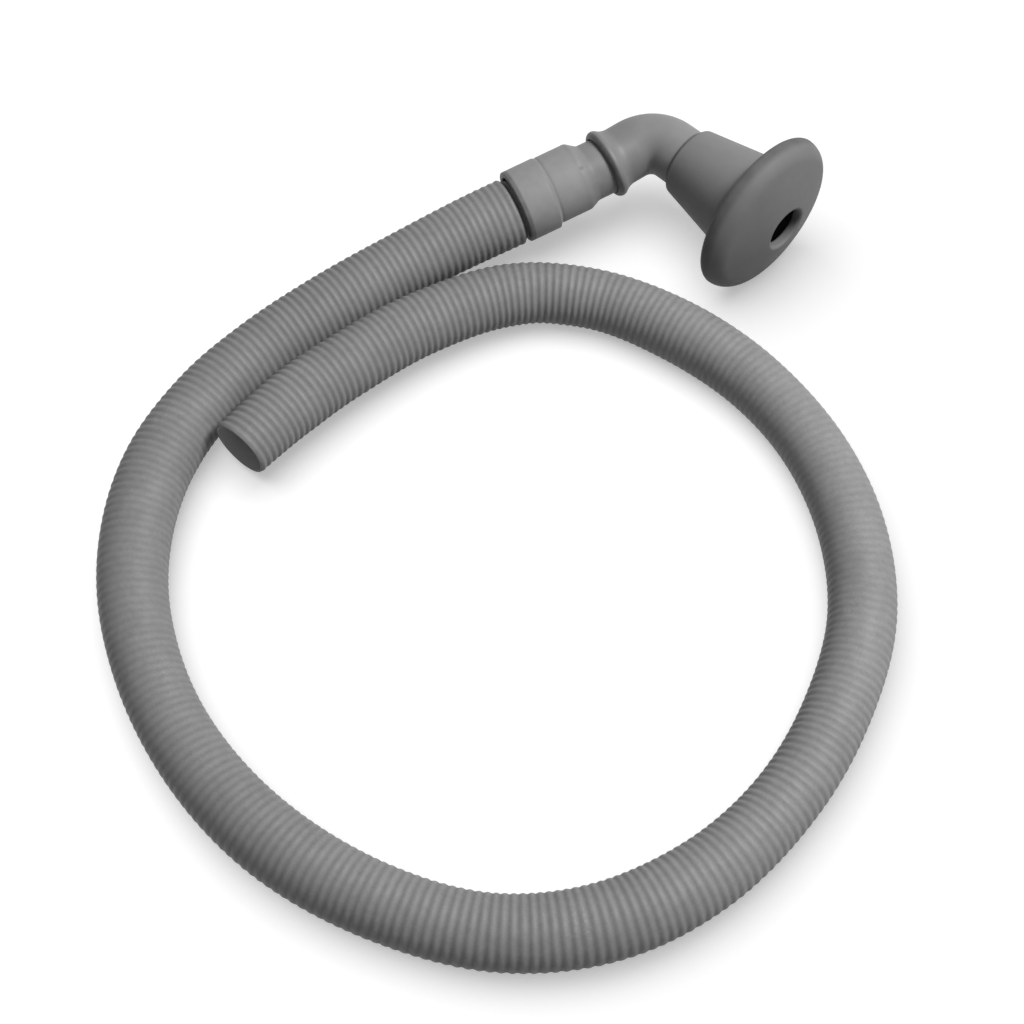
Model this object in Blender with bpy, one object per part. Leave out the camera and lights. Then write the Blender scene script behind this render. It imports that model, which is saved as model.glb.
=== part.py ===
# Drain hose for a small washing machine: a ribbed hose lying in one loop on the
# floor, with a stepped cuff, a bent elbow and a rubber port seal on its first end.
# Metres, +Z up. The seal's bore runs along +X, and the origin is on the floor,
# under the middle of the cuff, elbow and seal.

import math

import bpy
import bmesh
import numpy as np
from mathutils import Matrix, Vector

CLEARANCE = 0.0003

# Faces round each turned piece, and the steps of each rounded corner
ROUND_STEPS = 48
CORNER_STEPS = 3
CORNER_STEP_LENGTH = 0.0016
SHARP_EDGE_ANGLE = math.radians(35)

# Ribbed hose
HOSE_DIAMETER = 0.027
HOSE_SEAT_DEPTH = 0.0157
HOSE_POINTS = 52
HOSE_ROUND_RESOLUTION = 4
ROUTE_SAMPLES = 24

# Elbow: two straight arms joined by a bend, with a rolled bead round its inlet
ELBOW_TURN = math.radians(71.5)
ELBOW_ROLL = math.radians(10.3)
ELBOW_BEND_RADIUS = 0.0170
ELBOW_BEND_STEPS = 13
ELBOW_INLET_LENGTH = 0.0163
ELBOW_OUTLET_LENGTH = 0.0137
ELBOW_RADIUS = 0.0133
ELBOW_WALL = 0.0022
ELBOW_SOCKET_DEPTH = 0.0040
ELBOW_BEAD_RADIUS = 0.0158
ELBOW_BEAD_CREST = 0.0034
ELBOW_BEAD_WIDTH = 0.0062
ELBOW_BEAD_ROUND = 0.0018

# Stepped cuff: hose socket, collar, neck and the spigot inside the elbow
CUFF_SLEEVE_WALL = 0.0027
CUFF_SLEEVE_LENGTH = 0.0154
CUFF_COLLAR_STEP = 0.0009
CUFF_COLLAR_LENGTH = 0.0158
CUFF_CHAMFER_LENGTH = 0.0044
CUFF_NECK_RADIUS = 0.0129
CUFF_NECK_LENGTH = 0.0113
CUFF_SPIGOT_LENGTH = 0.0113
CUFF_SPIGOT_WALL = 0.0017
CUFF_EDGE_ROUND = 0.0006
CUFF_CHAMFER_ROUND = 0.0012

# Port seal: sleeve on the elbow, flared bell, thick flange and blunt cone front
SEAL_SETBACK = 0.0030
SEAL_SLEEVE_WALL = 0.0015
SEAL_SHOULDER_ROUND = 0.0016
SEAL_STOP_RADIUS = 0.0110
SEAL_STOP_LENGTH = 0.0030
SEAL_BELL_LENGTH = 0.0430
SEAL_BELL_RADIUS = 0.0234
SEAL_BELL_WALL = 0.0031
SEAL_BELL_FILLET = 0.0016
SEAL_RADIUS = 0.0368
SEAL_THICKNESS = 0.0180
SEAL_BACK_ROUND = 0.0028
SEAL_RIM_ROUND = 0.0085
SEAL_CONE_SLOPE = math.radians(17.9)
SEAL_FRONT_WALL = 0.0036
SEAL_HOLE_RADIUS = 0.0101
SEAL_LIP_ROUND = 0.0011

# Greys and roughness of the four pieces
HOSE_FINISH = (0.21, 0.55)
CUFF_FINISH = (0.27, 0.50)
ELBOW_FINISH = (0.22, 0.45)
SEAL_FINISH = (0.16, 0.60)

# Route of the hose's middle line, from inside the cuff to the free end
HOSE_ROUTE = [
    (-0.0367, -0.0343, 0.0273),
    (-0.0417, -0.0489, 0.0246),
    (-0.0496, -0.0751, 0.0216),
    (-0.0568, -0.1091, 0.0186),
    (-0.0615, -0.1443, 0.0164),
    (-0.0632, -0.1776, 0.0149),
    (-0.0600, -0.2100, 0.0140),
    (-0.0481, -0.2424, 0.0136),
    (-0.0280, -0.2696, 0.0135),
    (-0.0004, -0.2915, 0.0135),
    (0.0363, -0.3073, 0.0135),
    (0.0754, -0.3139, 0.0135),
    (0.1145, -0.3114, 0.0135),
    (0.1533, -0.2989, 0.0135),
    (0.1880, -0.2775, 0.0135),
    (0.2124, -0.2463, 0.0135),
    (0.2244, -0.2081, 0.0135),
    (0.2246, -0.1670, 0.0135),
    (0.2149, -0.1280, 0.0135),
    (0.1959, -0.0907, 0.0135),
    (0.1663, -0.0623, 0.0135),
    (0.1294, -0.0435, 0.0135),
    (0.0895, -0.0363, 0.0135),
    (0.0488, -0.0406, 0.0135),
    (0.0124, -0.0542, 0.0136),
    (-0.0141, -0.0810, 0.0142),
    (-0.0275, -0.1194, 0.0153),
    (-0.0320, -0.1589, 0.0163),
    (-0.0316, -0.1884, 0.0176),
    (-0.0275, -0.2206, 0.0190),
]

# Sizes that follow from those above
HOSE_RADIUS = HOSE_DIAMETER / 2
ELBOW_BORE = ELBOW_RADIUS - ELBOW_WALL
ELBOW_SOCKET_RADIUS = CUFF_NECK_RADIUS + CLEARANCE
ELBOW_TANGENT = ELBOW_BEND_RADIUS * math.tan(ELBOW_TURN / 2)
ELBOW_BEND_LENGTH = ELBOW_BEND_RADIUS * ELBOW_TURN
ELBOW_LENGTH = ELBOW_INLET_LENGTH + ELBOW_BEND_LENGTH + ELBOW_OUTLET_LENGTH
CUFF_SOCKET_RADIUS = HOSE_RADIUS + CLEARANCE
CUFF_SOCKET_DEPTH = HOSE_SEAT_DEPTH + CLEARANCE
CUFF_RADIUS = CUFF_SOCKET_RADIUS + CUFF_SLEEVE_WALL
CUFF_COLLAR_RADIUS = CUFF_RADIUS - CUFF_COLLAR_STEP
CUFF_SPIGOT_RADIUS = ELBOW_BORE - CLEARANCE
CUFF_BORE = CUFF_SPIGOT_RADIUS - CUFF_SPIGOT_WALL
CUFF_NECK_END = CUFF_SLEEVE_LENGTH + CUFF_COLLAR_LENGTH + CUFF_CHAMFER_LENGTH + CUFF_NECK_LENGTH
CUFF_MOUTH_REACH = ELBOW_TANGENT + ELBOW_INLET_LENGTH - ELBOW_SOCKET_DEPTH + CLEARANCE + CUFF_NECK_END
SEAL_BORE = ELBOW_RADIUS + CLEARANCE
SEAL_SHOULDER_RADIUS = SEAL_BORE + SEAL_SLEEVE_WALL
SEAL_START = ELBOW_TANGENT + SEAL_SETBACK
SEAL_SEAT = ELBOW_TANGENT + ELBOW_OUTLET_LENGTH + CLEARANCE
SEAL_CHAMBER_START = SEAL_SEAT + SEAL_STOP_LENGTH
SEAL_CHAMBER_RADIUS = SEAL_BELL_RADIUS - SEAL_BELL_WALL
SEAL_BACK = SEAL_START + SEAL_BELL_LENGTH
SEAL_FRONT = SEAL_BACK + SEAL_THICKNESS


def inlet_direction():
    """Unit vector from the corner of the elbow's axes out through its hose arm."""
    across = -math.sin(ELBOW_TURN)
    return Vector((-math.cos(ELBOW_TURN), across * math.cos(ELBOW_ROLL), across * math.sin(ELBOW_ROLL)))


def corner_point():
    """Corner of the elbow's axes: puts the fittings' box over the origin and the rim on the floor."""
    arm = inlet_direction()
    low_x = CUFF_MOUTH_REACH * arm.x - CUFF_RADIUS * math.sqrt(1 - arm.x ** 2)
    low_y = CUFF_MOUTH_REACH * arm.y - CUFF_RADIUS * math.sqrt(1 - arm.y ** 2)
    return Vector((-(low_x + SEAL_FRONT) / 2, -(low_y + SEAL_RADIUS) / 2, SEAL_RADIUS))


def clear_scene():
    for old in list(bpy.data.objects):
        bpy.data.objects.remove(old, do_unlink=True)


def make_material(name, finish):
    grey, roughness = finish
    material = bpy.data.materials.new(name)
    material.use_nodes = True
    shader = material.node_tree.nodes["Principled BSDF"]
    shader.inputs["Base Color"].default_value = (grey, grey, grey, 1.0)
    shader.inputs["Roughness"].default_value = roughness
    shader.inputs["Metallic"].default_value = 0.0
    return material


def rounded(outline):
    """Closed outline of (along, radius, corner round) made into points, each corner an arc."""
    points = []
    for index, (along, radius, corner) in enumerate(outline):
        here = Vector((along, radius))
        if corner == 0.0:
            points.append(here)
            continue
        before = (Vector(outline[index - 1][:2]) - here).normalized()
        after = (Vector(outline[(index + 1) % len(outline)][:2]) - here).normalized()
        half = before.angle(after) / 2
        reach = corner / math.tan(half)
        centre = here + (before + after).normalized() * (corner / math.sin(half))
        first = here + before * reach - centre
        last = here + after * reach - centre
        sweep = first.angle_signed(last)
        steps = max(CORNER_STEPS, math.ceil(abs(sweep) * corner / CORNER_STEP_LENGTH))
        for step in range(steps + 1):
            turned = Matrix.Rotation(-sweep * step / steps, 2) @ first
            points.append(centre + turned)
    return points


def straight_axis(along):
    """Point and sideways direction of a straight axis along local +X."""
    return Vector((along, 0, 0)), Vector((0, 1, 0))


def elbow_axis(along):
    """The same for the elbow's bent axis, whose length starts at its inlet mouth."""
    turned = min(max((along - ELBOW_INLET_LENGTH) / ELBOW_BEND_RADIUS, 0.0), ELBOW_TURN)
    heading = ELBOW_TURN - turned
    side = Vector((-math.sin(heading), math.cos(heading), 0))
    forward = Vector((math.cos(heading), math.sin(heading), 0))
    middle = Vector((ELBOW_TANGENT, -ELBOW_BEND_RADIUS, 0)) + side * ELBOW_BEND_RADIUS
    if along < ELBOW_INLET_LENGTH:
        middle += forward * (along - ELBOW_INLET_LENGTH)
    bend_end = ELBOW_INLET_LENGTH + ELBOW_BEND_LENGTH
    if along > bend_end:
        middle += forward * (along - bend_end)
    return middle, side


def turn_outline(name, points, axis, material):
    """Mesh object made by turning a closed outline round an axis, which may be bent."""
    mesh = bpy.data.meshes.new(name)
    work = bmesh.new()
    rings = []
    for along, radius in points:
        middle, side = axis(along)
        ring = []
        for step in range(ROUND_STEPS):
            angle = math.tau * step / ROUND_STEPS
            place = middle + radius * (math.cos(angle) * side + math.sin(angle) * Vector((0, 0, 1)))
            ring.append(work.verts.new(place))
        rings.append(ring)
    for index, ring in enumerate(rings):
        following = rings[(index + 1) % len(rings)]
        for step in range(ROUND_STEPS):
            beside = (step + 1) % ROUND_STEPS
            work.faces.new((ring[step], ring[beside], following[beside], following[step]))
    bmesh.ops.recalc_face_normals(work, faces=work.faces)
    work.to_mesh(mesh)
    work.free()
    mesh.shade_smooth()
    mesh.set_sharp_from_angle(angle=SHARP_EDGE_ANGLE)
    mesh.materials.append(material)
    piece = bpy.data.objects.new(name, mesh)
    bpy.context.collection.objects.link(piece)
    return piece


def cuff_points():
    """Section of the cuff from its hose mouth: outside first, then back through the bore."""
    collar = CUFF_SLEEVE_LENGTH
    chamfer = collar + CUFF_COLLAR_LENGTH
    neck = chamfer + CUFF_CHAMFER_LENGTH
    tip = CUFF_NECK_END + CUFF_SPIGOT_LENGTH
    return rounded([
        (0.0, CUFF_RADIUS, CUFF_EDGE_ROUND),
        (collar, CUFF_RADIUS, CUFF_EDGE_ROUND),
        (collar + CUFF_COLLAR_STEP, CUFF_COLLAR_RADIUS, CUFF_EDGE_ROUND),
        (chamfer, CUFF_COLLAR_RADIUS, CUFF_CHAMFER_ROUND),
        (neck, CUFF_NECK_RADIUS, CUFF_CHAMFER_ROUND),
        (CUFF_NECK_END, CUFF_NECK_RADIUS, CUFF_EDGE_ROUND),
        (CUFF_NECK_END, CUFF_SPIGOT_RADIUS, 0.0),
        (tip, CUFF_SPIGOT_RADIUS, CUFF_EDGE_ROUND),
        (tip, CUFF_BORE, 0.0),
        (CUFF_SOCKET_DEPTH, CUFF_BORE, 0.0),
        (CUFF_SOCKET_DEPTH, CUFF_SOCKET_RADIUS, 0.0),
        (0.0, CUFF_SOCKET_RADIUS, CUFF_EDGE_ROUND),
    ])


def elbow_points():
    """Section of the elbow along its bent axis: bead, bend and spigot, then back inside."""
    stations = []
    for step in range(ELBOW_BEND_STEPS + 1):
        stations.append(ELBOW_INLET_LENGTH + ELBOW_BEND_LENGTH * step / ELBOW_BEND_STEPS)
    bead = [
        (0.0, ELBOW_BEAD_RADIUS, ELBOW_BEAD_ROUND),
        (ELBOW_BEAD_CREST, ELBOW_BEAD_RADIUS, ELBOW_BEAD_ROUND),
        (ELBOW_BEAD_WIDTH, ELBOW_RADIUS, ELBOW_BEAD_ROUND),
    ]
    outside = [(along, ELBOW_RADIUS, 0.0) for along in stations]
    spigot = [
        (ELBOW_LENGTH, ELBOW_RADIUS, CUFF_EDGE_ROUND),
        (ELBOW_LENGTH, ELBOW_BORE, 0.0),
    ]
    inside = [(along, ELBOW_BORE, 0.0) for along in reversed(stations)]
    mouth = [
        (ELBOW_SOCKET_DEPTH, ELBOW_BORE, 0.0),
        (ELBOW_SOCKET_DEPTH, ELBOW_SOCKET_RADIUS, 0.0),
        (0.0, ELBOW_SOCKET_RADIUS, 0.0),
    ]
    return rounded(bead + outside + spigot + inside + mouth)


def seal_points():
    """Section of the port seal from the elbow side: bell, flange and cone, then the chamber."""
    slope = math.tan(SEAL_CONE_SLOPE)
    rim = SEAL_FRONT - (SEAL_RADIUS - SEAL_HOLE_RADIUS) * slope
    ceiling = SEAL_FRONT - SEAL_FRONT_WALL
    ceiling_edge = ceiling - (SEAL_CHAMBER_RADIUS - SEAL_HOLE_RADIUS) * slope
    return rounded([
        (SEAL_START, SEAL_BORE, 0.0),
        (SEAL_START, SEAL_SHOULDER_RADIUS, SEAL_SHOULDER_ROUND),
        (SEAL_BACK, SEAL_BELL_RADIUS, SEAL_BELL_FILLET),
        (SEAL_BACK, SEAL_RADIUS, SEAL_BACK_ROUND),
        (rim, SEAL_RADIUS, SEAL_RIM_ROUND),
        (SEAL_FRONT, SEAL_HOLE_RADIUS, SEAL_LIP_ROUND),
        (ceiling, SEAL_HOLE_RADIUS, SEAL_LIP_ROUND),
        (ceiling_edge, SEAL_CHAMBER_RADIUS, SEAL_LIP_ROUND),
        (SEAL_BACK, SEAL_CHAMBER_RADIUS, 0.0),
        (SEAL_CHAMBER_START, bell_radius(SEAL_CHAMBER_START) - SEAL_BELL_WALL, SEAL_LIP_ROUND),
        (SEAL_CHAMBER_START, SEAL_STOP_RADIUS, 0.0),
        (SEAL_SEAT, SEAL_STOP_RADIUS, 0.0),
        (SEAL_SEAT, SEAL_BORE, 0.0),
    ])


def bell_radius(along):
    """Outside radius of the bell, which flares evenly from its shoulder to the flange."""
    share = (along - SEAL_START) / SEAL_BELL_LENGTH
    return SEAL_SHOULDER_RADIUS + share * (SEAL_BELL_RADIUS - SEAL_SHOULDER_RADIUS)


def smooth_route(points, count):
    """Evenly spaced points on a smooth curve through the route's own points."""
    nodes = np.array(points)
    padded = np.vstack([2 * nodes[0] - nodes[1], nodes, 2 * nodes[-1] - nodes[-2]])
    dense = []
    for index in range(1, len(padded) - 2):
        before, first, last, after = padded[index - 1:index + 3]
        for share in np.linspace(0, 1, ROUTE_SAMPLES, endpoint=False):
            pull = 2 * first + (last - before) * share
            bend = (2 * before - 5 * first + 4 * last - after) * share ** 2
            ease = (3 * first - before - 3 * last + after) * share ** 3
            dense.append((pull + bend + ease) / 2)
    dense.append(nodes[-1])
    dense = np.array(dense)
    travel = np.concatenate([[0], np.cumsum(np.linalg.norm(np.diff(dense, axis=0), axis=1))])
    wanted = np.linspace(0, travel[-1], count)
    return np.stack([np.interp(wanted, travel, dense[:, axis]) for axis in range(3)], axis=1)


def make_hose(material):
    """Plain tube along the hose's route; its ribs are too fine to be part of this solid."""
    curve = bpy.data.curves.new("hose", "CURVE")
    curve.dimensions = "3D"
    curve.bevel_depth = HOSE_RADIUS
    curve.bevel_resolution = HOSE_ROUND_RESOLUTION
    curve.use_fill_caps = True
    spline = curve.splines.new("POLY")
    spline.points.add(HOSE_POINTS - 1)
    for point, place in zip(spline.points, smooth_route(HOSE_ROUTE, HOSE_POINTS)):
        point.co = (place[0], place[1], place[2], 1.0)
    curve.materials.append(material)
    hose = bpy.data.objects.new("hose", curve)
    bpy.context.collection.objects.link(hose)
    return hose


def make_cuff(material, corner):
    """Stepped cuff, modelled along +X from its hose mouth and turned into line with the arm."""
    cuff = turn_outline("hose_cuff", cuff_points(), straight_axis, material)
    turn = Matrix.Rotation(ELBOW_ROLL, 3, "X") @ Matrix.Rotation(ELBOW_TURN, 3, "Z")
    cuff.rotation_euler = turn.to_euler()
    cuff.location = inlet_direction() * CUFF_MOUTH_REACH
    cuff.parent = corner
    return cuff


def make_elbow(material, corner):
    """Bent elbow, modelled flat round its corner and rolled so that its hose arm dips."""
    elbow = turn_outline("elbow", elbow_points(), elbow_axis, material)
    elbow.rotation_euler = (ELBOW_ROLL, 0, 0)
    elbow.parent = corner
    return elbow


def make_seal(material, corner):
    """Rubber port seal, turned round the elbow's outlet axis."""
    seal = turn_outline("port_seal", seal_points(), straight_axis, material)
    seal.parent = corner
    return seal


def main():
    clear_scene()
    corner = bpy.data.objects.new("elbow_corner", None)
    corner.location = corner_point()
    bpy.context.collection.objects.link(corner)
    make_hose(make_material("hose_plastic", HOSE_FINISH))
    make_cuff(make_material("cuff_plastic", CUFF_FINISH), corner)
    make_elbow(make_material("elbow_plastic", ELBOW_FINISH), corner)
    make_seal(make_material("seal_rubber", SEAL_FINISH), corner)


main()
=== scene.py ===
# Looks of the drain hose: a ribbed hose on a pale floor, with its stepped cuff,
# bent elbow and rubber port seal. Metres, +Z up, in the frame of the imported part.

import math

import bmesh
import bpy
import numpy as np
from mathutils import Matrix, Vector


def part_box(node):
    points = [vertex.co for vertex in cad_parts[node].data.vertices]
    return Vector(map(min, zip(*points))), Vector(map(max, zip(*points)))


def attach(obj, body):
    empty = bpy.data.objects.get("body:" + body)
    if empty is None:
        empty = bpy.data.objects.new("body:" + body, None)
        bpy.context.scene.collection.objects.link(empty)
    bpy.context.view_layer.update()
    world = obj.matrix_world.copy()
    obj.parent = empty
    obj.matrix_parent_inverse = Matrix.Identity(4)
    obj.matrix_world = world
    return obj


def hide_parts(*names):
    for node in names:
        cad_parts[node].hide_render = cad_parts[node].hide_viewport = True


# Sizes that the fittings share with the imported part
CLEARANCE = 0.0003
HOSE_RADIUS = 0.0135
HOSE_SEAT_DEPTH = 0.0157
ELBOW_TURN = math.radians(71.5)
ELBOW_ROLL = math.radians(10.3)
ELBOW_BEND_RADIUS = 0.0170
ELBOW_INLET_LENGTH = 0.0163
ELBOW_OUTLET_LENGTH = 0.0137
ELBOW_RADIUS = 0.0133
ELBOW_BORE = 0.0111
ELBOW_SOCKET_DEPTH = 0.0040
CUFF_RADIUS = 0.0165
CUFF_COLLAR_RADIUS = 0.0156
CUFF_NECK_RADIUS = 0.0129
CUFF_BORE = 0.0091
CUFF_SLEEVE_LENGTH = 0.0154
CUFF_COLLAR_LENGTH = 0.0158
CUFF_CHAMFER_LENGTH = 0.0044
CUFF_NECK_LENGTH = 0.0113
CUFF_SPIGOT_LENGTH = 0.0113
SEAL_SETBACK = 0.0030
SEAL_SHOULDER_RADIUS = 0.0151
SEAL_BELL_LENGTH = 0.0430
SEAL_BELL_RADIUS = 0.0234
SEAL_BELL_WALL = 0.0031
SEAL_STOP_RADIUS = 0.0110
SEAL_STOP_LENGTH = 0.0030
SEAL_THICKNESS = 0.0180
SEAL_CONE_SLOPE = math.radians(17.9)

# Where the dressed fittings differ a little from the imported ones, as the photo shows them
CORNER_SHIFT = Vector((-0.0024, -0.0010, 0.0007))
SHOWN_BEND_RADIUS = 0.0155
COLLAR_OFFSET = 0.0007
COLLAR_GROOVE = 0.0002
COLLAR_GROOVE_END = 0.00225
FLANGE_LEAN = Vector((0.0, 0.010, 0.004))
FLANGE_SHIFT = 0.0004
HOLE_RISE = Vector((0.0, 0.0, 0.0016))
SHOWN_FLANGE_RADIUS = 0.0366
SHOWN_HOLE_RADIUS = 0.0092
SLEEVE_SHIFT = 0.0036
SHOWN_FRONT_WALL = 0.0049
HOLE_LIP_ROUND = 0.0014

# Rounds of the fittings' edges
EDGE_ROUND = 0.0006
MOUTH_ROUND = 0.0008
CHAMFER_ROUND = 0.0030
BEAD_RADIUS = 0.0158
BEAD_CREST = 0.0034
BEAD_WIDTH = 0.0066
BEAD_ROUND = 0.0023
BEAD_FLANK_ROUND = 0.0026
BEAD_FOOT_ROUND = 0.0085
SHOULDER_ROUND = 0.0012
BELL_FILLET = 0.0016
BACK_ROUND = 0.0028
RIM_ROUND = 0.0092
LIP_ROUND = 0.0011

# Gate mark on the cuff's collar: from the cuff's mouth, round it, its size with its full part,
# strength and tone
GATE_ALONG = 0.0313
GATE_TURN = math.radians(115.4)
GATE_SIZE = 0.0014
GATE_CORE = GATE_SIZE / 3
GATE_STRENGTH = 0.55
GATE_TONE = 0.10

# Route of the hose's middle line, from inside the cuff to the cut end
HOSE_ROUTE = [
    (-0.0367, -0.0343, 0.0264),
    (-0.0417, -0.0489, 0.0232),
    (-0.0496, -0.0751, 0.0198),
    (-0.0568, -0.1091, 0.0174),
    (-0.0615, -0.1443, 0.0160),
    (-0.0632, -0.1776, 0.0147),
    (-0.0600, -0.2100, 0.0140),
    (-0.0481, -0.2424, 0.0136),
    (-0.0280, -0.2696, 0.0135),
    (-0.0004, -0.2915, 0.0135),
    (0.0363, -0.3073, 0.0135),
    (0.0754, -0.3139, 0.0135),
    (0.1145, -0.3114, 0.0135),
    (0.1533, -0.2989, 0.0135),
    (0.1880, -0.2775, 0.0135),
    (0.2124, -0.2463, 0.0135),
    (0.2244, -0.2081, 0.0135),
    (0.2246, -0.1670, 0.0135),
    (0.2149, -0.1280, 0.0135),
    (0.1959, -0.0907, 0.0135),
    (0.1663, -0.0623, 0.0135),
    (0.1294, -0.0435, 0.0135),
    (0.0895, -0.0363, 0.0135),
    (0.0488, -0.0406, 0.0135),
    (0.0124, -0.0542, 0.0136),
    (-0.0141, -0.0810, 0.0142),
    (-0.0275, -0.1194, 0.0153),
    (-0.0320, -0.1589, 0.0163),
    (-0.0316, -0.1884, 0.0176),
    (-0.0278, -0.2184, 0.0189),
]
ROUTE_SAMPLES = 24

# Soft swells and dents of the hose: length along it, and what they add to its radius
HOSE_SWELLS = [
    (0.016, 0.0),
    (0.0185, 0.0018),
    (0.080, 0.0010),
    (0.180, 0.0007),
    (0.215, 0.0010),
    (0.330, -0.0004),
    (0.400, 0.0003),
    (0.460, -0.0002),
    (0.535, 0.0005),
    (0.610, -0.0008),
    (0.730, 0.0),
    (0.790, -0.0004),
    (0.850, 0.0002),
    (0.890, -0.0002),
    (0.930, 0.0003),
    (1.030, 0.0007),
    (1.070, -0.0003),
]

# How far above its resting height the hose may lie and still be lifted by its swells
RESTING_REACH = 0.004

# How deep the ribs are along the hose, as a share of their plain depth
# The same shares also set how strongly the crests are painted lighter and the valleys darker.
RIB_RELIEF = [
    (0.016, 1.2),
    (0.120, 1.6),
    (0.200, 1.1),
    (0.270, 0.6),
    (0.330, 0.8),
    (0.420, 1.1),
    (0.480, 1.4),
    (0.600, 1.1),
    (0.700, 0.6),
    (0.790, 0.5),
    (0.830, 0.8),
    (0.870, 1.1),
    (0.910, 1.6),
    (1.060, 1.6),
]

# Ribs of the hose: the breadth of their crests, how uneven they are, and the seed of that
RIB_PITCH = 0.0034
RIB_DEPTH = 0.00032
RIB_STEPS = 7
RIB_BREADTH = 0.85
RIB_UNEVEN = 0.06
RIB_SEED = 7

# The hose's wall in the valleys, and the value that marks its bore for the material
HOSE_WALL = 0.0008
INSIDE = -1.0

# The hose's cut end: how far it leans, how far along that reaches, and how fast it fades
CUT_TILT = math.radians(5.0)
CUT_REACH = 0.022
CUT_FADE = 1.5

# Kink pressed into the inner side of the hose
KINK_AT = 0.9160
KINK_REACH = 0.010
KINK_DEPTH = 0.0007

# Photo's camera: where it points on the floor, how far off, its angles, lens and sensor width
CAMERA_TARGET = Vector((0.0619, -0.1494, 0.0))
CAMERA_DISTANCE = 0.6701
CAMERA_AZIMUTH = math.radians(46.5)
CAMERA_ELEVATION = math.radians(58.0)
CAMERA_LENS = 57.36
CAMERA_SENSOR = 36.0

# Lamps: azimuth, elevation, distance from the camera's target, size and power
KEY_LAMP = (math.radians(53), math.radians(59), 1.2, 0.40, 14.4)
FLOOR_LAMP = (math.radians(-165), math.radians(81), 1.2, 1.25, 13.6)

# Floor and backdrop: what the camera sees is whiter than what lights the pieces
FLOOR_REACH = 3.0
FLOOR_UNSEEN_TONE = 0.26
FLOOR_SEEN_TONE = 0.75
FLOOR_GLOW = 0.39
BACKDROP_STRENGTH = 0.24

# Tones of the surfaces, as linear greys
# The crest and valley tones are painted highlight and painted shade of the ribs, and the bore's pale tone
# is painted light.
HOSE_VALLEY_PAINTED_SHADE_TONE = 0.184
HOSE_CREST_PAINTED_HIGHLIGHT_TONE = 0.240
HOSE_BORE_PAINTED_LIGHT_TONE = 0.58
CUFF_TONE = 0.275
ELBOW_TONE = 0.225
# The bell is toned paler than the flange of the same rubber: painted light.
BELL_PAINTED_LIGHT_TONE = 0.215
FLANGE_TONE = 0.158

# Painted shade round the turned pieces, as lines and broader bands: how far each reaches, how strong it is,
# and its tone
CUFF_MOUTH_PAINTED_SHADE = (0.0026, 0.72, 0.06)
CUFF_STEP_PAINTED_SHADE = (0.0014, 0.45, 0.17)
CUFF_NECK_PAINTED_SHADE = (0.0190, 0.50, 0.12)
ELBOW_INLET_PAINTED_SHADE = (0.0120, 0.25, 0.12)
ELBOW_MOUTH_PAINTED_SHADE = (0.0024, 0.80, 0.05)
ELBOW_SLEEVE_PAINTED_SHADE = (0.0020, 0.85, 0.05)
SEAL_SLEEVE_PAINTED_SHADE = (0.0012, 0.50, 0.07)
SEAL_SEAM_PAINTED_SHADE = (0.0068, 0.66, 0.07)
INLET_PAINTED_SHADE_AT = 0.0090

# Noises of the effects: how much finer or wider than the given scale they are
CLOUD_FINER = 4.3
GRAIN_WIDER = 0.12
SPECKS_FINER = 22.0

# Level of the noise at which a scuff starts, how soon it is full, and the levels of its specks
SCUFF_LEVEL = 0.72
SCUFF_FADE = 0.12
SPECK_LOW = 0.42
SPECK_HIGH = 0.66

# A painted shade line's full part as a share of its reach, and the noise that makes it uneven
LINE_CORE = 0.65
LINE_CLOUD_SCALE = 170.0
LINE_CLOUD_LOW = 0.35
LINE_CLOUD_HIGH = 0.65
LINE_FAINTEST = 0.72

# How finely the meshes are cut
HOSE_SIDES = 36
INNER_RINGS = 200
TURNED_SIDES = 96
BEND_STATIONS = 25
ARC_LENGTH = 0.0007
FEWEST_ARC_STEPS = 4
SHARP_EDGE_ANGLE = math.radians(40)

# Sockets of a colour mix: factor, first and second colour, and its result
MIX_INPUTS = (0, 6, 7)
MIX_RESULT = 2


def smooth_route(points):
    """Dense points on a smooth curve through the route's own points."""
    nodes = np.array(points)
    padded = np.vstack([2 * nodes[0] - nodes[1], nodes, 2 * nodes[-1] - nodes[-2]])
    dense = []
    for index in range(1, len(padded) - 2):
        before, first, last, after = padded[index - 1:index + 3]
        for share in np.linspace(0, 1, ROUTE_SAMPLES, endpoint=False):
            pull = 2 * first + (last - before) * share
            bend = (2 * before - 5 * first + 4 * last - after) * share ** 2
            ease = (3 * first - before - 3 * last + after) * share ** 3
            dense.append((pull + bend + ease) / 2)
    dense.append(nodes[-1])
    return np.array(dense)


class Route:
    """The hose's middle line: place, sideways and upward direction at each length along it."""

    def __init__(self, points):
        self.points = smooth_route(points)
        steps = np.linalg.norm(np.diff(self.points, axis=0), axis=1)
        self.travel = np.concatenate([[0], np.cumsum(steps)])
        self.length = self.travel[-1]
        self.tangents = np.gradient(self.points, self.travel, axis=0)

    def at(self, travel):
        place = np.array([np.interp(travel, self.travel, self.points[:, axis]) for axis in range(3)])
        ahead = np.array([np.interp(travel, self.travel, self.tangents[:, axis]) for axis in range(3)])
        ahead /= np.linalg.norm(ahead)
        side = np.array([-ahead[1], ahead[0], 0.0])
        side /= np.linalg.norm(side)
        return place, ahead, side, np.cross(ahead, side)


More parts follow.
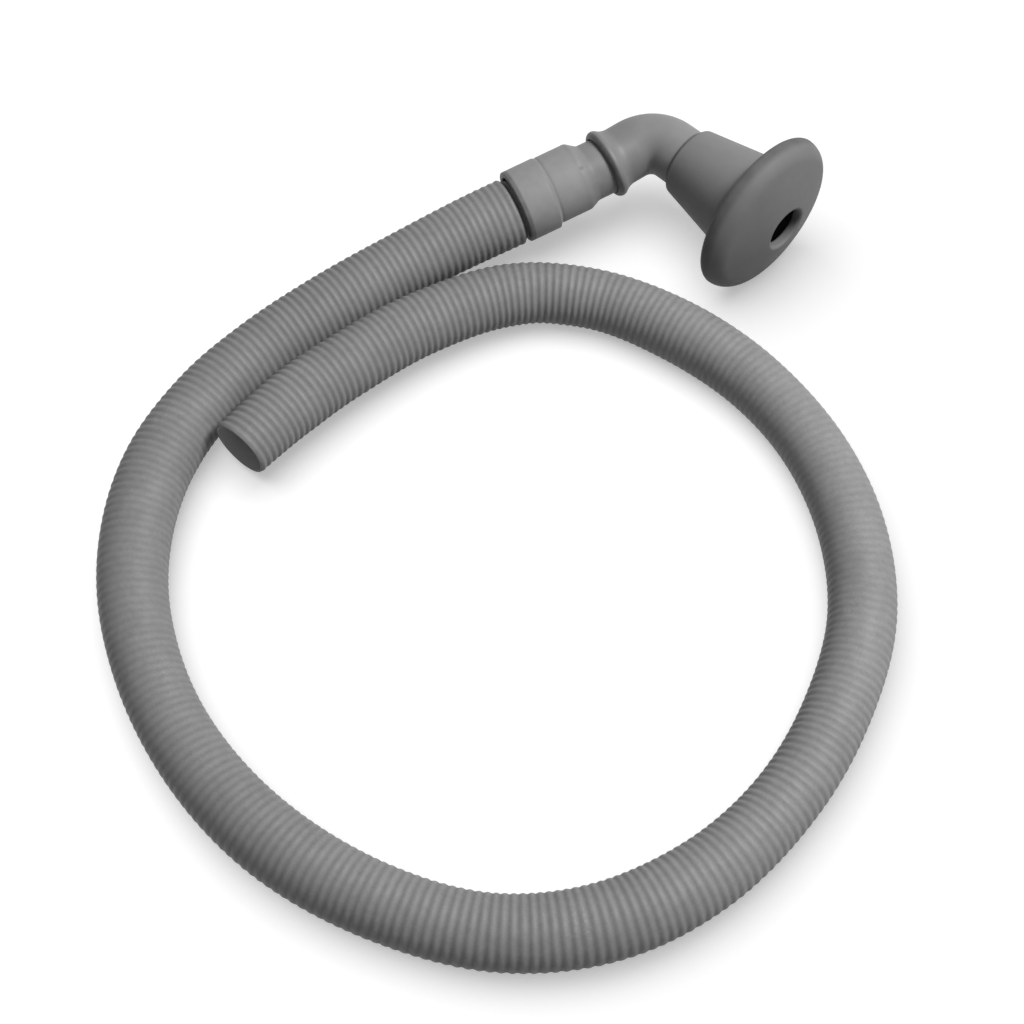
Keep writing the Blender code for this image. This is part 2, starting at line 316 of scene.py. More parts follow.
def rounded(outline):
    """Closed outline of (along, radius, corner round) made into points, each corner an arc."""
    points = []
    for index, (along, radius, corner) in enumerate(outline):
        here = Vector((along, radius))
        if corner == 0.0:
            points.append(here)
            continue
        before = (Vector(outline[index - 1][:2]) - here).normalized()
        after = (Vector(outline[(index + 1) % len(outline)][:2]) - here).normalized()
        half = before.angle(after) / 2
        reach = corner / math.tan(half)
        centre = here + (before + after).normalized() * (corner / math.sin(half))
        first = here + before * reach - centre
        last = here + after * reach - centre
        sweep = first.angle_signed(last)
        steps = max(FEWEST_ARC_STEPS, math.ceil(abs(sweep) * corner / ARC_LENGTH))
        for step in range(steps + 1):
            turned = Matrix.Rotation(-sweep * step / steps, 2) @ first
            points.append(centre + turned)
    return points


def closed_rings(name, rings, label, values):
    """Mesh object through a closed row of rings of points, with a named value per ring for its material."""
    sides = len(rings[0])
    count = len(rings)
    faces = []
    for index in range(count):
        here = index * sides
        there = (index + 1) % count * sides
        for side in range(sides):
            beside = (side + 1) % sides
            faces.append((here + side, here + beside, there + beside, there + side))
    mesh = bpy.data.meshes.new(name)
    mesh.from_pydata(np.concatenate(rings).tolist(), [], faces)
    layer = mesh.attributes.new(label, "FLOAT", "POINT")
    layer.data.foreach_set("value", np.repeat(values, sides))
    work = bmesh.new()
    work.from_mesh(mesh)
    bmesh.ops.recalc_face_normals(work, faces=work.faces)
    work.to_mesh(mesh)
    work.free()
    mesh.shade_smooth()
    mesh.set_sharp_from_angle(angle=SHARP_EDGE_ANGLE)
    piece = bpy.data.objects.new(name, mesh)
    bpy.context.collection.objects.link(piece)
    return piece


def turned(name, outline, axis, placing):
    """Mesh object made by turning a closed outline round an axis, which may be bent."""
    rings = []
    stations = []
    angles = np.linspace(0, math.tau, TURNED_SIDES, endpoint=False)
    for along, radius in rounded(outline):
        middle, side, up = axis(along)
        ring = []
        for angle in angles:
            place = middle + radius * (math.cos(angle) * side + math.sin(angle) * up)
            ring.append(placing @ place)
        rings.append(np.array(ring))
        stations.append(along)
    return closed_rings(name, rings, "along", stations)


def straight_axis(along):
    """Plain axis: middle, sideways and upward direction along it."""
    return Vector((along, 0, 0)), Vector((0, 1, 0)), Vector((0, 0, 1))


def cuff_axis(along):
    """The cuff's axis: its collar stands a little off the middle of the sleeve."""
    entering = (along - CUFF_SLEEVE_LENGTH + EDGE_ROUND) / EDGE_ROUND
    leaving = (CUFF_SLEEVE_LENGTH + CUFF_COLLAR_LENGTH + CUFF_CHAMFER_LENGTH - along) / CUFF_CHAMFER_LENGTH
    offset = COLLAR_OFFSET * min(max(min(entering, leaving), 0.0), 1.0)
    middle, side, up = straight_axis(along)
    return middle + offset * side, side, up


def seal_axis(along):
    """The seal's axis: its flange leans a little on the bell, and its hole sits a little high."""
    if along < FLANGE_BACK:
        return straight_axis(along)
    forward = (Vector((1, 0, 0)) + FLANGE_LEAN).normalized()
    side = Vector((0, 0, 1)).cross(forward).normalized()
    ahead = along - FLANGE_BACK
    rise = HOLE_RISE * (ahead / SEAL_THICKNESS) ** 2
    return Vector((FLANGE_BACK, 0, 0)) + forward * ahead + rise, side, forward.cross(side)


class BentAxis:
    """Axis from a mouth round one corner to an end: middle, sideways and upward direction along it."""

    def __init__(self, mouth, corner, end, radius):
        last = (end - corner).normalized()
        self.first = (corner - mouth).normalized()
        self.up = last.cross(self.first).normalized()
        self.turn = self.first.angle(last)
        self.radius = radius
        self.mouth = mouth
        reach = radius * math.tan(self.turn / 2)
        self.bend_start = (corner - mouth).length - reach
        self.bend_end = self.bend_start + radius * self.turn
        self.length = self.bend_end + (end - corner).length - reach

    def at(self, along):
        turned_by = min(max((along - self.bend_start) / self.radius, 0.0), self.turn)
        forward = Matrix.Rotation(-turned_by, 3, self.up) @ self.first
        side = self.up.cross(forward)
        middle = self.mouth + self.first * min(along, self.bend_start)
        middle += (side - self.up.cross(self.first)) * self.radius
        middle += forward * max(along - self.bend_end, 0.0)
        return middle, side, self.up


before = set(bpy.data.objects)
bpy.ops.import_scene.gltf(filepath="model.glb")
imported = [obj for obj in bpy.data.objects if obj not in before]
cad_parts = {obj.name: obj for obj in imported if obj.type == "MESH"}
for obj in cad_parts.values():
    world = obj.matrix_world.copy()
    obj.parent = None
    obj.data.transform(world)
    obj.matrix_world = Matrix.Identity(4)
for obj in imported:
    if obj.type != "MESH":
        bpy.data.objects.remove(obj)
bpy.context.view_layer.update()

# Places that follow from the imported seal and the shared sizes
ELBOW_TANGENT = ELBOW_BEND_RADIUS * math.tan(ELBOW_TURN / 2)
SEAL_START = ELBOW_TANGENT + SEAL_SETBACK
SEAL_SEAT = ELBOW_TANGENT + ELBOW_OUTLET_LENGTH + CLEARANCE
FLANGE_BACK = SEAL_START + SEAL_BELL_LENGTH - FLANGE_SHIFT
CUFF_NECK_END = CUFF_SLEEVE_LENGTH + CUFF_COLLAR_LENGTH + CUFF_CHAMFER_LENGTH + CUFF_NECK_LENGTH
CUFF_REACH = ELBOW_TANGENT + ELBOW_INLET_LENGTH - ELBOW_SOCKET_DEPTH + CLEARANCE + CUFF_NECK_END
seal_low, seal_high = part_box("port_seal")
CORNER = Vector((seal_low.x - SEAL_START, (seal_low.y + seal_high.y) / 2, (seal_low.z + seal_high.z) / 2))
TO_CORNER = Matrix.Translation(CORNER)
ROLLED = TO_CORNER @ Matrix.Rotation(ELBOW_ROLL, 4, "X")
HOSE_ARM = ROLLED @ Matrix.Rotation(ELBOW_TURN, 4, "Z") @ Matrix.Translation((-CUFF_REACH, 0, 0))
ELBOW_MOUTH = HOSE_ARM @ Vector((CUFF_REACH - ELBOW_TANGENT - ELBOW_INLET_LENGTH, 0, 0))
ELBOW_END = TO_CORNER @ Vector((ELBOW_TANGENT + ELBOW_OUTLET_LENGTH, 0, 0))
ELBOW_AXIS = BentAxis(ELBOW_MOUTH, CORNER + CORNER_SHIFT, ELBOW_END, SHOWN_BEND_RADIUS)
GATE_HEIGHT = CUFF_COLLAR_RADIUS * math.sin(GATE_TURN)
GATE_SIDE = CUFF_COLLAR_RADIUS * math.cos(GATE_TURN) + COLLAR_OFFSET
GATE_PLACE = HOSE_ARM @ Vector((GATE_ALONG, GATE_SIDE, GATE_HEIGHT))


# Shader helpers

def feed(tree, socket, value):
    """Links a value that is a socket to a node's socket, and sets any other."""
    if isinstance(value, bpy.types.NodeSocket):
        tree.links.new(value, socket)
    else:
        socket.default_value = value


def add_node(tree, kind, **values):
    """Shader node whose sockets are fed by name."""
    made = tree.nodes.new(kind)
    for name, value in values.items():
        feed(tree, made.inputs[name.replace("_", " ")], value)
    return made


def mix_colours(tree, factor, first, second):
    """First colour at a factor of 0, second at 1."""
    mixed = tree.nodes.new("ShaderNodeMix")
    mixed.data_type = "RGBA"
    for index, value in zip(MIX_INPUTS, (factor, first, second)):
        feed(tree, mixed.inputs[index], value)
    return mixed.outputs[MIX_RESULT]


def arithmetic(tree, operation, first, second):
    """Result of one operation on two values."""
    made = tree.nodes.new("ShaderNodeMath")
    made.operation = operation
    for index, value in enumerate((first, second)):
        feed(tree, made.inputs[index], value)
    return made.outputs[0]


def remap(tree, value, low, high, new_low, new_high):
    """Value between low and high moved to the new range, and held at its ends."""
    made = add_node(tree, "ShaderNodeMapRange", Value=value, From_Min=low, From_Max=high)
    made.inputs["To Min"].default_value = new_low
    made.inputs["To Max"].default_value = new_high
    return made.outputs["Result"]


def grey(level):
    """Neutral colour of one linear level."""
    return (level, level, level, 1.0)


def object_place(tree):
    """Place on the piece, in metres."""
    return add_node(tree, "ShaderNodeTexCoord").outputs["Object"]


def ring_value(tree, label):
    """Value that the mesh keeps for each of its rings under this label."""
    kept = add_node(tree, "ShaderNodeAttribute")
    kept.attribute_name = label
    return kept.outputs["Fac"]


def new_group(name, inputs, outputs):
    """Empty node group with named sockets: (tree, its input node's outputs, its output node)."""
    tree = bpy.data.node_groups.new(name, "ShaderNodeTree")
    for label, kind in inputs:
        tree.interface.new_socket(label, in_out="INPUT", socket_type=kind)
    for label, kind in outputs:
        tree.interface.new_socket(label, in_out="OUTPUT", socket_type=kind)
    entry = tree.nodes.new("NodeGroupInput")
    leaving = tree.nodes.new("NodeGroupOutput")
    return tree, entry.outputs, leaving


def mottle_group():
    """Uneven tone of moulded plastic: two sizes of soft cloud over the given colour."""
    tree, given, leaving = new_group(
        "mottled_tone",
        [("Colour", "NodeSocketColor"), ("Scale", "NodeSocketFloat"), ("Amount", "NodeSocketFloat")],
        [("Colour", "NodeSocketColor")],
    )
    place = object_place(tree)
    broad = add_node(tree, "ShaderNodeTexNoise", Vector=place, Scale=given["Scale"], Detail=2.0)
    finer = arithmetic(tree, "MULTIPLY", given["Scale"], CLOUD_FINER)
    small = add_node(tree, "ShaderNodeTexNoise", Vector=place, Scale=finer, Detail=3.0)
    both = arithmetic(tree, "ADD", broad.outputs[0], small.outputs[0])
    centred = arithmetic(tree, "SUBTRACT", both, 1.0)
    swing = arithmetic(tree, "MULTIPLY", centred, given["Amount"])
    factor = arithmetic(tree, "ADD", swing, 1.0)
    toned = tree.nodes.new("ShaderNodeVectorMath")
    toned.operation = "SCALE"
    tree.links.new(given["Colour"], toned.inputs[0])
    tree.links.new(factor, toned.inputs["Scale"])
    tree.links.new(toned.outputs[0], leaving.inputs["Colour"])
    return tree


def grain_group():
    """Fine grain of a moulded skin, as a height."""
    tree, given, leaving = new_group(
        "moulded_grain",
        [("Scale", "NodeSocketFloat"), ("Softness", "NodeSocketFloat")],
        [("Height", "NodeSocketFloat")],
    )
    place = object_place(tree)
    grain = add_node(tree, "ShaderNodeTexNoise", Vector=place, Scale=given["Scale"], Detail=3.0)
    wide = arithmetic(tree, "MULTIPLY", given["Scale"], GRAIN_WIDER)
    waves = add_node(tree, "ShaderNodeTexNoise", Vector=place, Scale=wide, Detail=1.0)
    soft = arithmetic(tree, "MULTIPLY", waves.outputs[0], given["Softness"])
    tree.links.new(arithmetic(tree, "ADD", grain.outputs[0], soft), leaving.inputs["Height"])
    return tree


def scuff_group():
    """Rubbed patches from handling, broken up by fine noise, as a mask."""
    tree, given, leaving = new_group(
        "handling_scuffs",
        [("Scale", "NodeSocketFloat"), ("Coverage", "NodeSocketFloat")],
        [("Mask", "NodeSocketFloat")],
    )
    place = object_place(tree)
    patch = add_node(tree, "ShaderNodeTexNoise", Vector=place, Scale=given["Scale"], Detail=4.0)
    edge = arithmetic(tree, "SUBTRACT", SCUFF_LEVEL, given["Coverage"])
    above = arithmetic(tree, "SUBTRACT", patch.outputs[0], edge)
    patches = remap(tree, above, 0.0, SCUFF_FADE, 0.0, 1.0)
    fine = arithmetic(tree, "MULTIPLY", given["Scale"], SPECKS_FINER)
    speck = add_node(tree, "ShaderNodeTexNoise", Vector=place, Scale=fine, Detail=2.0)
    broken = remap(tree, speck.outputs[0], SPECK_LOW, SPECK_HIGH, 0.0, 1.0)
    tree.links.new(arithmetic(tree, "MULTIPLY", patches, broken), leaving.inputs["Mask"])
    return tree


def make_painted_shade_group():
    """Line of painted shade round a turned piece at one place along it, a little uneven, as a mask."""
    tree, given, leaving = new_group(
        "painted_shade_band",
        [("Along", "NodeSocketFloat"), ("Place", "NodeSocketFloat"), ("Reach", "NodeSocketFloat")],
        [("Mask", "NodeSocketFloat")],
    )
    place = object_place(tree)
    away = arithmetic(tree, "ABSOLUTE", arithmetic(tree, "SUBTRACT", given["Along"], given["Place"]), 0.0)
    share = arithmetic(tree, "DIVIDE", away, given["Reach"])
    line = remap(tree, share, LINE_CORE, 1.0, 1.0, 0.0)
    cloud = add_node(tree, "ShaderNodeTexNoise", Vector=place, Scale=LINE_CLOUD_SCALE, Detail=2.0)
    uneven = remap(tree, cloud.outputs[0], LINE_CLOUD_LOW, LINE_CLOUD_HIGH, LINE_FAINTEST, 1.0)
    tree.links.new(arithmetic(tree, "MULTIPLY", line, uneven), leaving.inputs["Mask"])
    return tree


MOTTLE = mottle_group()
GRAIN = grain_group()
SCUFFS = scuff_group()
PAINTED_SHADE_GROUP = make_painted_shade_group()


def use_group(tree, group, **values):
    """One use of a node group, its sockets fed by name."""
    made = tree.nodes.new("ShaderNodeGroup")
    made.node_tree = group
    for name, value in values.items():
        feed(tree, made.inputs[name], value)
    return made.outputs[0]


def new_material(name, specular):
    """Material with its node tree and shader."""
    material = bpy.data.materials.new(name)
    material.use_nodes = True
    tree = material.node_tree
    shader = tree.nodes["Principled BSDF"]
    shader.inputs["Specular IOR Level"].default_value = specular
    return material, tree, shader


def add_grain(tree, shader, scale, softness, distance, strength):
    """Fine grain on the shader's surface."""
    height = use_group(tree, GRAIN, Scale=scale, Softness=softness)
    bump = add_node(tree, "ShaderNodeBump", Height=height, Distance=distance, Strength=strength)
    tree.links.new(bump.outputs[0], shader.inputs["Normal"])


def add_roughness(tree, shader, mask, plain, masked):
    """Roughness that goes from plain to masked with the mask."""
    tree.links.new(remap(tree, mask, 0.0, 1.0, plain, masked), shader.inputs["Roughness"])


def lay_over(tree, colour, mask, strength, tone):
    """The colour with another grey laid over it where the mask says."""
    return mix_colours(tree, arithmetic(tree, "MULTIPLY", mask, strength), colour, grey(tone))


def add_painted_shade_lines(tree, colour, lines):
    """The colour with painted shade laid round the piece, each line at a place with its reach, strength and
    tone.
    """
    along = ring_value(tree, "along")
    for place, (reach, strength, tone) in lines:
        mask = use_group(tree, PAINTED_SHADE_GROUP, Along=along, Place=place, Reach=reach)
        colour = lay_over(tree, colour, mask, strength, tone)
    return colour


def hose_plastic():
    """Grey blown plastic: painted highlight on the crests, painted shade between the ribs, and painted
    light in the bore, which is paler than the outside.
    """
    material, tree, shader = new_material("hose_plastic", specular=0.20)
    rib = ring_value(tree, "rib")
    crest = remap(tree, rib, 0.0, 1.0, 0.0, 1.0)
    # Crests painted lighter and valleys darker: painted highlight and painted shade of the ribs.
    ribbed = mix_colours(tree, crest, grey(HOSE_VALLEY_PAINTED_SHADE_TONE), grey(HOSE_CREST_PAINTED_HIGHLIGHT_TONE))
    toned = use_group(tree, MOTTLE, Colour=ribbed, Scale=22.0, Amount=0.22)
    rubbed = use_group(tree, SCUFFS, Scale=46.0, Coverage=0.10)
    on_crest = arithmetic(tree, "MULTIPLY", rubbed, crest)
    scuffed = lay_over(tree, toned, on_crest, strength=0.35, tone=0.36)
    speckled = use_group(tree, MOTTLE, Colour=scuffed, Scale=330.0, Amount=0.30)
    # The bore is painted paler than the outside of the same plastic: painted light.
    inside = remap(tree, rib, INSIDE, INSIDE / 2, 1.0, 0.0)
    colour = mix_colours(tree, inside, speckled, grey(HOSE_BORE_PAINTED_LIGHT_TONE))
    tree.links.new(colour, shader.inputs["Base Color"])
    add_roughness(tree, shader, crest, plain=0.66, masked=0.50)
    add_grain(tree, shader, scale=1900.0, softness=0.5, distance=0.00006, strength=0.5)
    return material


def gate_mask(tree):
    """Small round spot where the cuff's mould was filled."""
    away = tree.nodes.new("ShaderNodeVectorMath")
    away.operation = "DISTANCE"
    tree.links.new(object_place(tree), away.inputs[0])
    away.inputs[1].default_value = GATE_PLACE
    return remap(tree, away.outputs["Value"], GATE_CORE, GATE_SIZE, GATE_STRENGTH, 0.0)


def cuff_plastic():
    """Paler matte vinyl with a cloudy tone, painted shade at its mouth, step and neck, and the gate mark.
    """
    material, tree, shader = new_material("cuff_plastic", specular=0.25)
    toned = use_group(tree, MOTTLE, Colour=grey(CUFF_TONE), Scale=60.0, Amount=0.20)
    rubbed = use_group(tree, SCUFFS, Scale=95.0, Coverage=0.13)
    scuffed = lay_over(tree, toned, rubbed, strength=0.22, tone=0.36)
    # Painted shade: on the mouth's end face, in the groove at the collar's step, and over the neck to dim
    # its lit chamfer.
    lined = add_painted_shade_lines(tree, scuffed, [
        (0.0, CUFF_MOUTH_PAINTED_SHADE),
        (CUFF_SLEEVE_LENGTH + EDGE_ROUND, CUFF_STEP_PAINTED_SHADE),
        (CUFF_NECK_END, CUFF_NECK_PAINTED_SHADE),
    ])
    marked = mix_colours(tree, gate_mask(tree), lined, grey(GATE_TONE))
    tree.links.new(marked, shader.inputs["Base Color"])
    add_roughness(tree, shader, rubbed, plain=0.50, masked=0.62)
    add_grain(tree, shader, scale=1500.0, softness=0.8, distance=0.00008, strength=0.5)
    return material


def elbow_plastic():
    """Satin moulded bend, with painted shade over its inlet, at its mouth and where it goes into the seal.
    """
    material, tree, shader = new_material("elbow_plastic", specular=0.28)
    toned = use_group(tree, MOTTLE, Colour=grey(ELBOW_TONE), Scale=48.0, Amount=0.14)
    rubbed = use_group(tree, SCUFFS, Scale=80.0, Coverage=0.09)
    scuffed = lay_over(tree, toned, rubbed, strength=0.18, tone=0.30)
    sleeve = ELBOW_AXIS.length - (SEAL_SEAT - SEAL_START - SLEEVE_SHIFT)
    # Painted shade over the inlet where the lamp lights it most, on the bead's face at the mouth, and in
    # the crease where the elbow goes into the seal.
    lined = add_painted_shade_lines(tree, scuffed, [
        (INLET_PAINTED_SHADE_AT, ELBOW_INLET_PAINTED_SHADE),
        (0.0, ELBOW_MOUTH_PAINTED_SHADE),
        (sleeve, ELBOW_SLEEVE_PAINTED_SHADE),
    ])
    tree.links.new(lined, shader.inputs["Base Color"])
    add_roughness(tree, shader, rubbed, plain=0.46, masked=0.58)
    add_grain(tree, shader, scale=1500.0, softness=0.6, distance=0.00006, strength=0.4)
    return material


def seal_rubber():
    """Dull dark rubber with a faint bloom, the bell painted paler than the flange as painted light, and
    painted shade at the sleeve's crease and where the bell meets the flange.
    """
    material, tree, shader = new_material("seal_rubber", specular=0.20)
    along = ring_value(tree, "along")
    on_flange = remap(tree, along, FLANGE_BACK - BELL_FILLET, FLANGE_BACK + BACK_ROUND, 0.0, 1.0)
    # Bell and flange are one rubber, and the bell's paler tone is painted light.
    body = mix_colours(tree, on_flange, grey(BELL_PAINTED_LIGHT_TONE), grey(FLANGE_TONE))
    toned = use_group(tree, MOTTLE, Colour=body, Scale=34.0, Amount=0.16)
    bloom = use_group(tree, SCUFFS, Scale=60.0, Coverage=0.14)
    dulled = lay_over(tree, toned, bloom, strength=0.14, tone=0.25)
    # Painted shade in the crease at the sleeve's edge, and on the bell where the flange shades it.
    lined = add_painted_shade_lines(tree, dulled, [
        (SEAL_START + SLEEVE_SHIFT, SEAL_SLEEVE_PAINTED_SHADE),
        (FLANGE_BACK, SEAL_SEAM_PAINTED_SHADE),
    ])
    tree.links.new(lined, shader.inputs["Base Color"])
    add_roughness(tree, shader, bloom, plain=0.62, masked=0.74)
    add_grain(tree, shader, scale=1100.0, softness=0.9, distance=0.00008, strength=0.6)
    return material


def rib_height(share):
    """Height of the wall over one pitch, from 0 in the valley to 1 on the rounded crest."""
    return (0.5 - 0.5 * math.cos(math.tau * share)) ** RIB_BREADTH


def rib_starts(length):
    """Where each rib starts: steps that differ a little, as on a blown tube, from a fixed seed."""
    chance = np.random.default_rng(RIB_SEED)
    steps = 1 + RIB_UNEVEN * chance.uniform(-1, 1, round(length / RIB_PITCH))
    starts = np.concatenate([[0], np.cumsum(steps)])
    return starts * length / starts[-1]


def eased(table, travel):
    """Value at one length along the hose, eased from each row of a table to the next."""
    places, heights = zip(*table)
    last = int(np.clip(np.searchsorted(places, travel), 1, len(places) - 1))
    share = (travel - places[last - 1]) / (places[last] - places[last - 1])
    share = min(max(share, 0.0), 1.0)
    ease = share * share * (3 - 2 * share)
    return heights[last - 1] + (heights[last] - heights[last - 1]) * ease


def hose_ring(route, travel, radius, height):
    """Ring of points round the hose, with its cut end leaning and its kink pressed in."""
    place, ahead, side, up = route.at(travel)
    swell = eased(HOSE_SWELLS, travel)
    resting = min(max(1 - (place[2] - HOSE_RADIUS) / RESTING_REACH, 0.0), 1.0)
    place[2] += swell * resting
    radius += swell - RIB_DEPTH * eased(RIB_RELIEF, travel) * (1 - height)
    angles = np.linspace(0, math.tau, HOSE_SIDES, endpoint=False)
    across = np.cos(angles)[:, None] * side + np.sin(angles)[:, None] * up
    kink = math.exp(-((travel - KINK_AT) / KINK_REACH) ** 2) * KINK_DEPTH
    radii = radius - kink * np.maximum(0, np.cos(angles))
    ring = place + radii[:, None] * across
    lean = max(0.0, 1 - (route.length - travel) / CUT_REACH) ** CUT_FADE
    back = (HOSE_RADIUS - radii * np.sin(angles)) * math.tan(CUT_TILT) * lean
    return ring - back[:, None] * ahead


def make_hose(route):
    """Ribbed tube with an open bore, from its seat in the cuff to its cut end."""
    starts = rib_starts(route.length)
    counted = np.arange(len(starts))
    deepest = max(relief for place, relief in RIB_RELIEF)
    rings = []
    ribs = []
    for index in range((len(starts) - 1) * RIB_STEPS + 1):
        height = rib_height(index / RIB_STEPS % 1.0)
        travel = np.interp(index / RIB_STEPS, counted, starts)
        rings.append(hose_ring(route, travel, HOSE_RADIUS, height))
        # The crest value also sets the painted highlight on the crests and painted shade in the valleys.
        ribs.append(1 - (1 - height) * eased(RIB_RELIEF, travel) / deepest)
    path = [ring.mean(axis=0) for ring in rings]
    for travel in np.linspace(route.length, 0.0, INNER_RINGS):
        rings.append(hose_ring(route, travel, HOSE_RADIUS - HOSE_WALL, 0.0))
        ribs.append(INSIDE)
    return closed_rings("ribbed_hose", rings, "rib", ribs), path


def cuff_outline():
    """Section of the cuff from its hose mouth: outside first, then back through the bore."""
    collar = CUFF_SLEEVE_LENGTH
    chamfer = collar + CUFF_COLLAR_LENGTH
    neck = chamfer + CUFF_CHAMFER_LENGTH
    tip = CUFF_NECK_END + CUFF_SPIGOT_LENGTH
    step = CUFF_RADIUS - CUFF_COLLAR_RADIUS
    seat = HOSE_SEAT_DEPTH + CLEARANCE
    return [
        (0.0, CUFF_RADIUS, MOUTH_ROUND),
        (collar - EDGE_ROUND, CUFF_RADIUS, EDGE_ROUND),
        (collar + step, CUFF_COLLAR_RADIUS - COLLAR_GROOVE, EDGE_ROUND),
        (collar + COLLAR_GROOVE_END, CUFF_COLLAR_RADIUS, EDGE_ROUND),
        (chamfer, CUFF_COLLAR_RADIUS, CHAMFER_ROUND),
        (neck, CUFF_NECK_RADIUS, CHAMFER_ROUND),
        (CUFF_NECK_END, CUFF_NECK_RADIUS, EDGE_ROUND),
        (CUFF_NECK_END, ELBOW_BORE - CLEARANCE, 0.0),
        (tip, ELBOW_BORE - CLEARANCE, EDGE_ROUND),
        (tip, CUFF_BORE, 0.0),
        (seat, CUFF_BORE, 0.0),
        (seat, HOSE_RADIUS + CLEARANCE, 0.0),
        (0.0, HOSE_RADIUS + CLEARANCE, MOUTH_ROUND),
    ]


def elbow_outline():
    """Section of the elbow along its bent axis: bead, bend and spigot, then back inside."""
    stations = np.linspace(ELBOW_AXIS.bend_start, ELBOW_AXIS.bend_end, BEND_STATIONS)
    bead = [
        (0.0, BEAD_RADIUS, BEAD_ROUND),
        (BEAD_CREST, BEAD_RADIUS, BEAD_FLANK_ROUND),
        (BEAD_WIDTH, ELBOW_RADIUS, BEAD_FOOT_ROUND),
    ]
    outside = [(along, ELBOW_RADIUS, 0.0) for along in stations]
    spigot = [
        (ELBOW_AXIS.length, ELBOW_RADIUS, EDGE_ROUND),
        (ELBOW_AXIS.length, ELBOW_BORE, 0.0),
    ]
    inside = [(along, ELBOW_BORE, 0.0) for along in reversed(stations)]
    mouth = [
        (ELBOW_SOCKET_DEPTH, ELBOW_BORE, 0.0),
        (ELBOW_SOCKET_DEPTH, CUFF_NECK_RADIUS + CLEARANCE, 0.0),
        (0.0, CUFF_NECK_RADIUS + CLEARANCE, EDGE_ROUND),
    ]
    return bead + outside + spigot + inside + mouth


def seal_outline():
    """Section of the port seal from the elbow side: bell, flange and cone, then the chamber."""
    slope = math.tan(SEAL_CONE_SLOPE)
    front = FLANGE_BACK + SEAL_THICKNESS
    bore = ELBOW_RADIUS + CLEARANCE
    chamber_start = SEAL_SEAT + SEAL_STOP_LENGTH
    chamber_radius = SEAL_BELL_RADIUS - SEAL_BELL_WALL
    flare = (SEAL_BELL_RADIUS - SEAL_SHOULDER_RADIUS) / SEAL_BELL_LENGTH
    chamber_low = SEAL_SHOULDER_RADIUS + flare * (chamber_start - SEAL_START) - SEAL_BELL_WALL
    sleeve = SEAL_START + SLEEVE_SHIFT
    shoulder = SEAL_SHOULDER_RADIUS + flare * SLEEVE_SHIFT
    rim = front - (SHOWN_FLANGE_RADIUS - SHOWN_HOLE_RADIUS) * slope
    ceiling = front - SHOWN_FRONT_WALL
    ceiling_edge = ceiling - (chamber_radius - SHOWN_HOLE_RADIUS) * slope
    return [
        (sleeve, bore, 0.0),
        (sleeve, shoulder, SHOULDER_ROUND),
        (FLANGE_BACK, SEAL_BELL_RADIUS, BELL_FILLET),
        (FLANGE_BACK, SHOWN_FLANGE_RADIUS, BACK_ROUND),
        (rim, SHOWN_FLANGE_RADIUS, RIM_ROUND),
        (front, SHOWN_HOLE_RADIUS, HOLE_LIP_ROUND),
        (ceiling, SHOWN_HOLE_RADIUS, LIP_ROUND),
        (ceiling_edge, chamber_radius, LIP_ROUND),
        (FLANGE_BACK, chamber_radius, 0.0),
        (chamber_start, chamber_low, LIP_ROUND),
        (chamber_start, SEAL_STOP_RADIUS, 0.0),
        (SEAL_SEAT, SEAL_STOP_RADIUS, 0.0),
        (SEAL_SEAT, bore, 0.0),
    ]


def dress(piece, material, node):
    """Gives a piece its material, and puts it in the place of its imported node."""
    piece.data.materials.append(material)
    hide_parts(node)
    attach(piece, "root")


def make_pieces():
    """The hose, as a cord, and its three fittings."""
    route = Route(HOSE_ROUTE)
    hose, path = make_hose(route)
    dress(hose, hose_plastic(), "hose")
    cuff = turned("stepped_cuff", cuff_outline(), cuff_axis, HOSE_ARM)
    dress(cuff, cuff_plastic(), "hose_cuff")
    elbow = turned("bent_elbow", elbow_outline(), ELBOW_AXIS.at, Matrix.Identity(4))
    dress(elbow, elbow_plastic(), "elbow")
    seal = turned("rubber_port_seal", seal_outline(), seal_axis, TO_CORNER)
    dress(seal, seal_rubber(), "port_seal")
    return [hose, cuff, elbow, seal]


def make_floor():
    """White studio floor, which keeps the soft shadow."""
    mesh = bpy.data.meshes.new("floor")
    reach = FLOOR_REACH
    corners = [(-reach, -reach, 0), (reach, -reach, 0), (reach, reach, 0), (-reach, reach, 0)]
    mesh.from_pydata(corners, [], [(0, 1, 2, 3)])
    floor = bpy.data.objects.new("floor", mesh)
    bpy.context.collection.objects.link(floor)
    material, tree, shader = new_material("floor_white", specular=0.0)
    shader.inputs["Roughness"].default_value = 1.0
    shader.inputs["Emission Color"].default_value = grey(1.0)
    seen = seen_rays(tree)
    tone = mix_colours(tree, seen, grey(FLOOR_UNSEEN_TONE), grey(FLOOR_SEEN_TONE))
    tree.links.new(tone, shader.inputs["Base Color"])
    tree.links.new(arithmetic(tree, "MULTIPLY", seen, FLOOR_GLOW), shader.inputs["Emission Strength"])
    mesh.materials.append(material)
    return floor


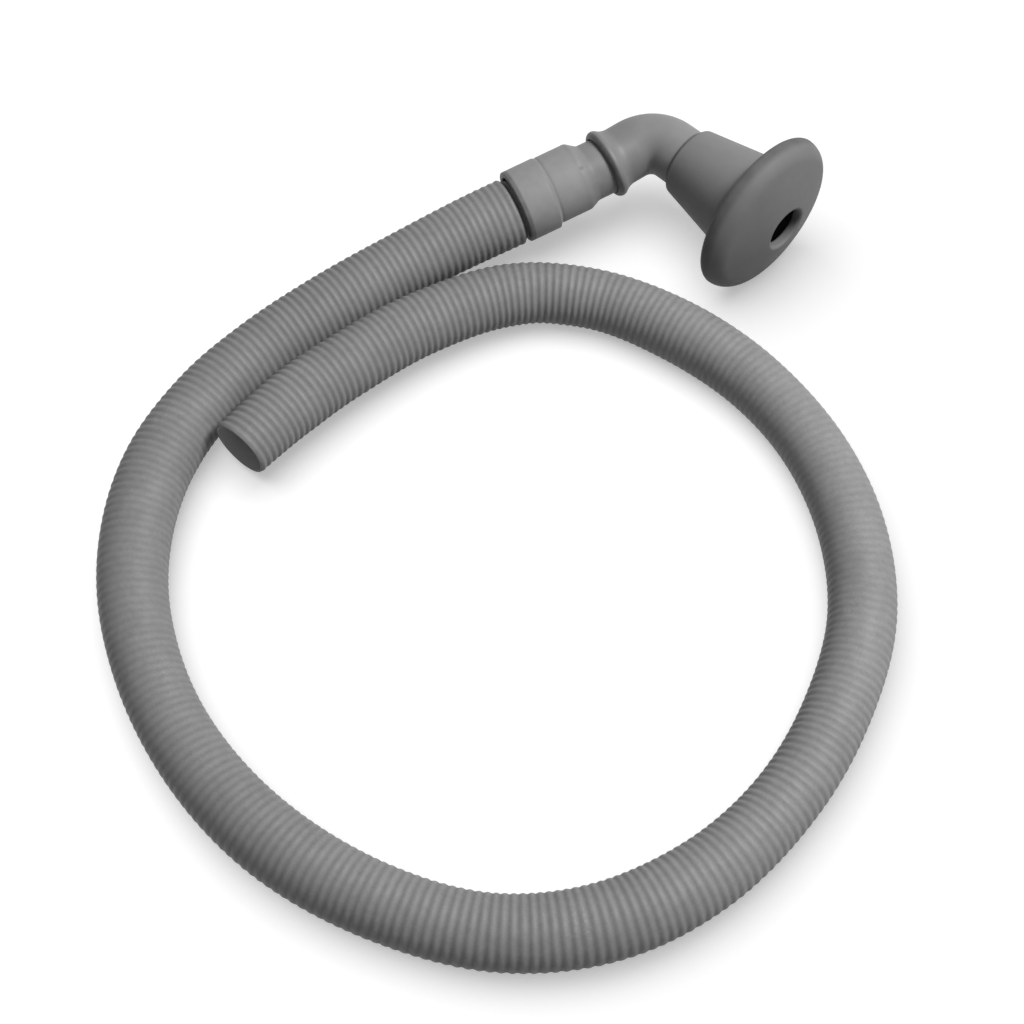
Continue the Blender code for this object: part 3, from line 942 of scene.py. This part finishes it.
def seen_rays(tree):
    """1 for rays that show the floor or the backdrop, and 0 for those that light the hose."""
    path = tree.nodes.new("ShaderNodeLightPath")
    first = arithmetic(tree, "MAXIMUM", path.outputs["Is Camera Ray"], path.outputs["Is Glossy Ray"])
    return arithmetic(tree, "MAXIMUM", first, path.outputs["Is Transmission Ray"])


def make_backdrop():
    """White all round to the eye, and dimmer as a light."""
    world = bpy.data.worlds.new("white_studio")
    bpy.context.scene.world = world
    world.use_nodes = True
    tree = world.node_tree
    background = tree.nodes["Background"]
    background.inputs["Color"].default_value = grey(1.0)
    level = remap(tree, seen_rays(tree), 0.0, 1.0, BACKDROP_STRENGTH, 1.0)
    tree.links.new(level, background.inputs["Strength"])


def make_lamp(name, values, lit):
    """Square soft lamp facing the camera's target, which lights only the given pieces."""
    azimuth, elevation, distance, size, power = values
    lamp = bpy.data.lights.new(name, "AREA")
    lamp.size = size
    lamp.energy = power
    holder = bpy.data.objects.new(name, lamp)
    flat = math.cos(elevation)
    away = Vector((flat * math.cos(azimuth), flat * math.sin(azimuth), math.sin(elevation)))
    holder.location = CAMERA_TARGET + away * distance
    holder.rotation_euler = away.to_track_quat("Z", "Y").to_euler()
    bpy.context.collection.objects.link(holder)
    receivers = bpy.data.collections.new(name + "_lights")
    for piece in lit:
        receivers.objects.link(piece)
    holder.light_linking.receiver_collection = receivers


def make_camera():
    """Camera at the photo's angle, aimed at a point on the floor."""
    camera = bpy.data.cameras.new("photo_camera")
    camera.lens = CAMERA_LENS
    camera.sensor_width = CAMERA_SENSOR
    holder = bpy.data.objects.new("photo_camera", camera)
    flat = math.cos(CAMERA_ELEVATION)
    away = Vector((
        flat * math.sin(CAMERA_AZIMUTH),
        -flat * math.cos(CAMERA_AZIMUTH),
        math.sin(CAMERA_ELEVATION),
    ))
    holder.location = CAMERA_TARGET + away * CAMERA_DISTANCE
    holder.rotation_euler = away.to_track_quat("Z", "Y").to_euler()
    bpy.context.collection.objects.link(holder)
    bpy.context.scene.camera = holder


make_camera()
pieces = make_pieces()
floor = make_floor()
make_backdrop()
make_lamp("key_lamp", KEY_LAMP, pieces)
make_lamp("floor_lamp", FLOOR_LAMP, [floor])
bpy.context.scene.view_settings.view_transform = "Standard"
